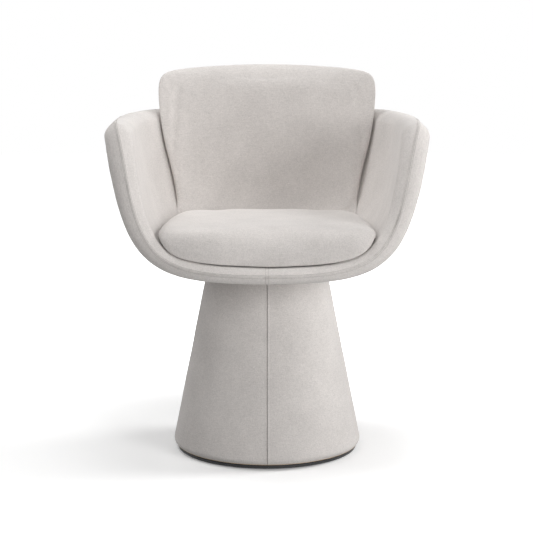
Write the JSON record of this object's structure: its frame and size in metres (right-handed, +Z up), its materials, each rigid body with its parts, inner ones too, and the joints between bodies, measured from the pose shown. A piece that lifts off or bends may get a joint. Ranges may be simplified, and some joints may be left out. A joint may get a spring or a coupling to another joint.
{
  "type": "pedestal swivel armchair",
  "caption": "Upholstered tub armchair with a loose seat cushion and a tall curved back pad that turns freely on a fabric-covered cone pedestal.",
  "frame": {"origin": "On the swivel axis at floor level, the middle of the underside of the centre floor pad.", "axes": "+Z points up along the swivel axis, -Y points the way the sitter faces at rest, and +X points to the sitter's left."},
  "size_m": [0.6404, 0.6527, 0.7952],
  "materials": {
    "upholstery": "felted wool, matt, warm light grey",
    "foam": "open-cell foam, matt, cream",
    "plywood": "birch plywood, unfinished",
    "moulded_shell": "moulded, matt, dark grey",
    "black_steel": "powder coat, matt, black",
    "steel": "zinc-plated, satin",
    "glides": "hard felt-faced plastic, matt, black",
    "cage": "moulded, matt, black"
  },
  "bodies": {
    "pedestal": {"floor_glides": "glides", "floor_plate": "black_steel", "plate_screws": "steel", "cone_foot_ring": "plywood", "column_tube": "steel", "column_gussets": "steel", "head_plate": "steel", "cone_top_ring": "plywood", "head_screws": "steel", "cone_wall": "plywood", "cone_foam": "foam", "cone_cover": "upholstery", "swivel_base_plate": "steel", "base_bolts": "steel", "base_nuts": "steel"},
    "ball_ring": {"ball_cage": "cage", "bearing_balls": "steel"},
    "seat": {"swivel_top_plate": "steel", "king_pin": "steel", "pin_washer": "steel", "pin_clip": "black_steel", "seat_plate": "steel", "seat_bolts": "steel", "seat_nuts": "steel", "shell_core": "moulded_shell", "shell_cover": "upholstery", "shell_lining": "upholstery", "seat_cushion": "upholstery", "back_panel": "upholstery", "back_board": "plywood", "back_pad": "upholstery"}
  },
  "joints": [
    {"name": "seat_swivel", "type": "hinge", "parent": "pedestal", "child": "seat", "pos_m": [0, 0, 0.4], "axis": [0, 0, 1], "continuous": true},
    {"name": "ball_ring_spin", "type": "hinge", "parent": "pedestal", "child": "ball_ring", "pos_m": [0, 0, 0.4], "axis": [0, 0, 1], "continuous": true}
  ],
  "couplings": [
    {"joint": "ball_ring_spin", "follows": "seat_swivel", "ratio": 0.5}
  ]
}
